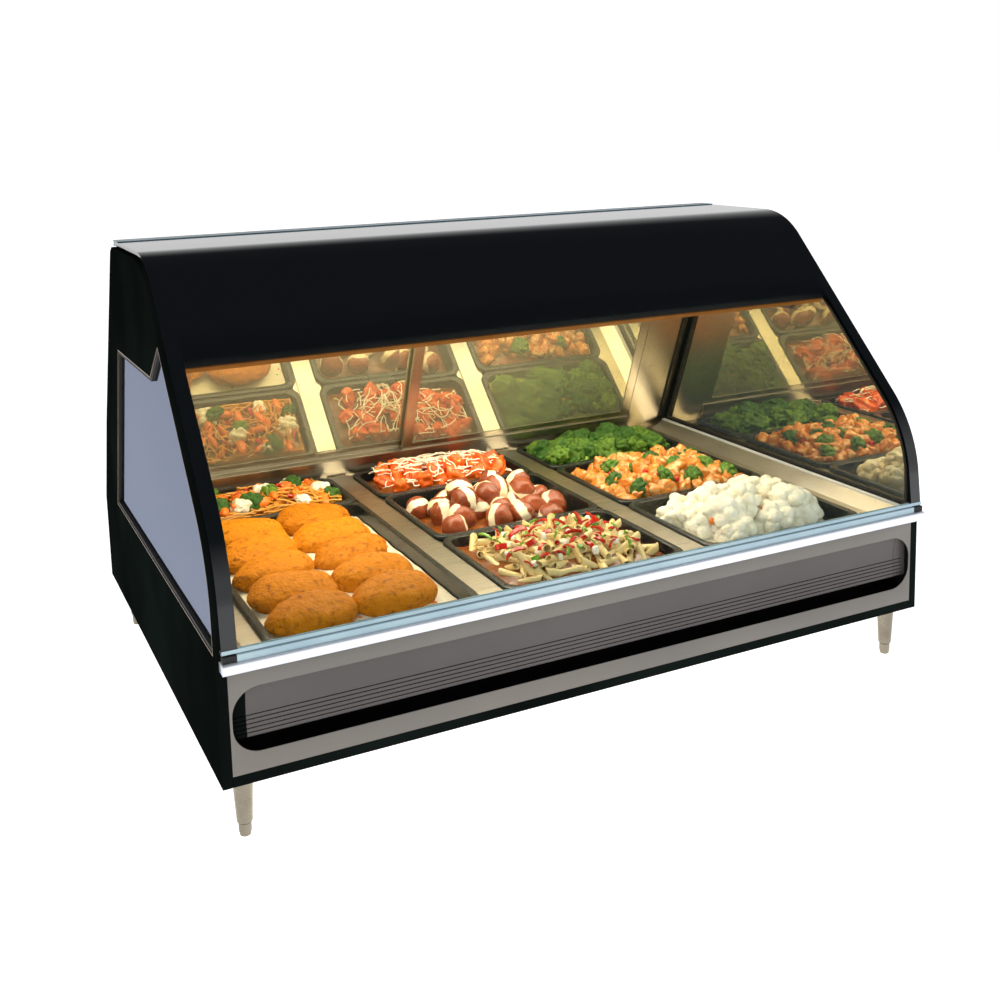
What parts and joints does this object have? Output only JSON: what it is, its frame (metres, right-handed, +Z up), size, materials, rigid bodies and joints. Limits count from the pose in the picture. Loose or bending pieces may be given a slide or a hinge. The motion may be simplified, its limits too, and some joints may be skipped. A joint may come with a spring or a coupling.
{
  "type": "hot food display case",
  "caption": "Countertop heated display case with a curved lift-up front glass, a lamp hood, lift-out food pans and sliding rear doors on short adjustable legs.",
  "frame": {"origin": "on the counter, under the middle of the case's overall box", "axes": "+X along the case to the right as the customer sees it, +Y towards the operator side, +Z up"},
  "size_m": [1.219, 0.9088, 0.767],
  "materials": {
    "black_paint": "satin",
    "stainless": "brushed",
    "grey_fascia": "satin",
    "louvre_grey": "satin",
    "bright_aluminium": "satin",
    "glass_seal": "satin",
    "clear_glass": "polished",
    "mirror_glass": "polished",
    "black_rubber": "matt",
    "pan_black": "satin",
    "mineral_wool": "matt",
    "heating_lead": "matt",
    "black_plastic": "satin",
    "lamp_glass": "frosted",
    "red_lens": "gloss"
  },
  "bodies": {
    "case": {"base_cabinet": "stainless", "front_fascia": "grey_fascia", "louvre_insert": "louvre_grey", "kick_strip": "black_paint", "bullnose_rail": "bright_aluminium", "glass_seat": "glass_seal", "end_panel_left": "black_paint", "end_panel_right": "black_paint", "side_glass_left": "clear_glass", "side_glass_right": "clear_glass", "window_gasket_left": "black_rubber", "window_gasket_right": "black_rubber", "side_ledge_left": "stainless", "side_ledge_right": "stainless", "deck": "stainless", "divider_bar_left": "stainless", "divider_bar_right": "stainless", "well_liner": "stainless", "well_insulation": "mineral_wool", "heating_cable": "heating_lead", "control_panel": "black_paint", "thermostat_body": "black_plastic", "switch_housing": "black_plastic", "indicator_lamp": "red_lens", "cable_gland": "black_plastic", "top_rail": "bright_aluminium", "hood_shell": "black_paint", "lamp_reflector": "stainless", "lamp_front": "lamp_glass", "lamp_rear": "lamp_glass", "rear_sill": "stainless", "upper_track": "stainless", "rear_post_left": "stainless", "rear_post_right": "stainless", "leg_front_left": "stainless", "leg_front_right": "stainless", "leg_rear_left": "stainless", "leg_rear_right": "stainless"},
    "front_glass_lid": {"front_glass": "clear_glass", "glass_clamp_rail": "bright_aluminium", "glass_edge_trim": "glass_seal"},
    "door_left": {"door_left_frame": "stainless", "door_left_glass": "mirror_glass"},
    "door_right": {"door_right_frame": "stainless", "door_right_glass": "mirror_glass"},
    "thermostat": {"thermostat_knob": "black_plastic"},
    "power_switch": {"power_rocker": "black_plastic"},
    "light_switch": {"light_rocker": "black_plastic"},
    "pan_left_full_lift": {"pan_left_full": "pan_black"},
    "pan_left_third_lift": {"pan_left_third": "pan_black"},
    "pan_centre_front_lift": {"pan_centre_front": "pan_black"},
    "pan_centre_middle_lift": {"pan_centre_middle": "pan_black"},
    "pan_centre_third_lift": {"pan_centre_third": "pan_black"},
    "pan_right_front_lift": {"pan_right_front": "pan_black"},
    "pan_right_middle_lift": {"pan_right_middle": "pan_black"},
    "pan_right_third_lift": {"pan_right_third": "pan_black"},
    "foot_front_left_screw": {"foot_front_left": "stainless"},
    "foot_front_right_screw": {"foot_front_right": "stainless"},
    "foot_rear_left_screw": {"foot_rear_left": "stainless"},
    "foot_rear_right_screw": {"foot_rear_right": "stainless"}
  },
  "joints": [
    {"name": "front_glass_hinge", "type": "hinge", "parent": "case", "child": "front_glass_lid", "pos_m": [0, 0.1885, 0.762], "axis": [-1, 0, 0], "range_deg": [0, 60]},
    {"name": "door_left_slide", "type": "slide", "parent": "case", "child": "door_left", "axis": [1, 0, 0], "range_m": [0, 0.449]},
    {"name": "door_right_slide", "type": "slide", "parent": "case", "child": "door_right", "axis": [-1, 0, 0], "range_m": [0, 0.449]},
    {"name": "thermostat_turn", "type": "hinge", "parent": "case", "child": "thermostat", "pos_m": [-0.08, 0.4318, 0.17], "axis": [0, -1, 0], "range_deg": [0, 270]},
    {"name": "power_rock", "type": "hinge", "parent": "case", "child": "power_switch", "pos_m": [-0.21, 0.426, 0.17], "axis": [1, 0, 0], "range_deg": [-6, 6]},
    {"name": "light_rock", "type": "hinge", "parent": "case", "child": "light_switch", "pos_m": [-0.27, 0.426, 0.17], "axis": [1, 0, 0], "range_deg": [-6, 6]},
    {"name": "pan_left_full_out", "type": "slide", "parent": "case", "child": "pan_left_full_lift", "axis": [0, 0, 1], "range_m": [0, 0.08]},
    {"name": "pan_left_third_out", "type": "slide", "parent": "case", "child": "pan_left_third_lift", "axis": [0, 0, 1], "range_m": [0, 0.035]},
    {"name": "pan_centre_front_out", "type": "slide", "parent": "case", "child": "pan_centre_front_lift", "axis": [0, 0, 1], "range_m": [0, 0.08]},
    {"name": "pan_centre_middle_out", "type": "slide", "parent": "case", "child": "pan_centre_middle_lift", "axis": [0, 0, 1], "range_m": [0, 0.08]},
    {"name": "pan_centre_third_out", "type": "slide", "parent": "case", "child": "pan_centre_third_lift", "axis": [0, 0, 1], "range_m": [0, 0.035]},
    {"name": "pan_right_front_out", "type": "slide", "parent": "case", "child": "pan_right_front_lift", "axis": [0, 0, 1], "range_m": [0, 0.08]},
    {"name": "pan_right_middle_out", "type": "slide", "parent": "case", "child": "pan_right_middle_lift", "axis": [0, 0, 1], "range_m": [0, 0.08]},
    {"name": "pan_right_third_out", "type": "slide", "parent": "case", "child": "pan_right_third_lift", "axis": [0, 0, 1], "range_m": [0, 0.035]},
    {"name": "foot_front_left_level", "type": "slide", "parent": "case", "child": "foot_front_left_screw", "axis": [0, 0, 1], "range_m": [-0.02, 0]},
    {"name": "foot_front_right_level", "type": "slide", "parent": "case", "child": "foot_front_right_screw", "axis": [0, 0, 1], "range_m": [-0.02, 0]},
    {"name": "foot_rear_left_level", "type": "slide", "parent": "case", "child": "foot_rear_left_screw", "axis": [0, 0, 1], "range_m": [-0.02, 0]},
    {"name": "foot_rear_right_level", "type": "slide", "parent": "case", "child": "foot_rear_right_screw", "axis": [0, 0, 1], "range_m": [-0.02, 0]}
  ]
}
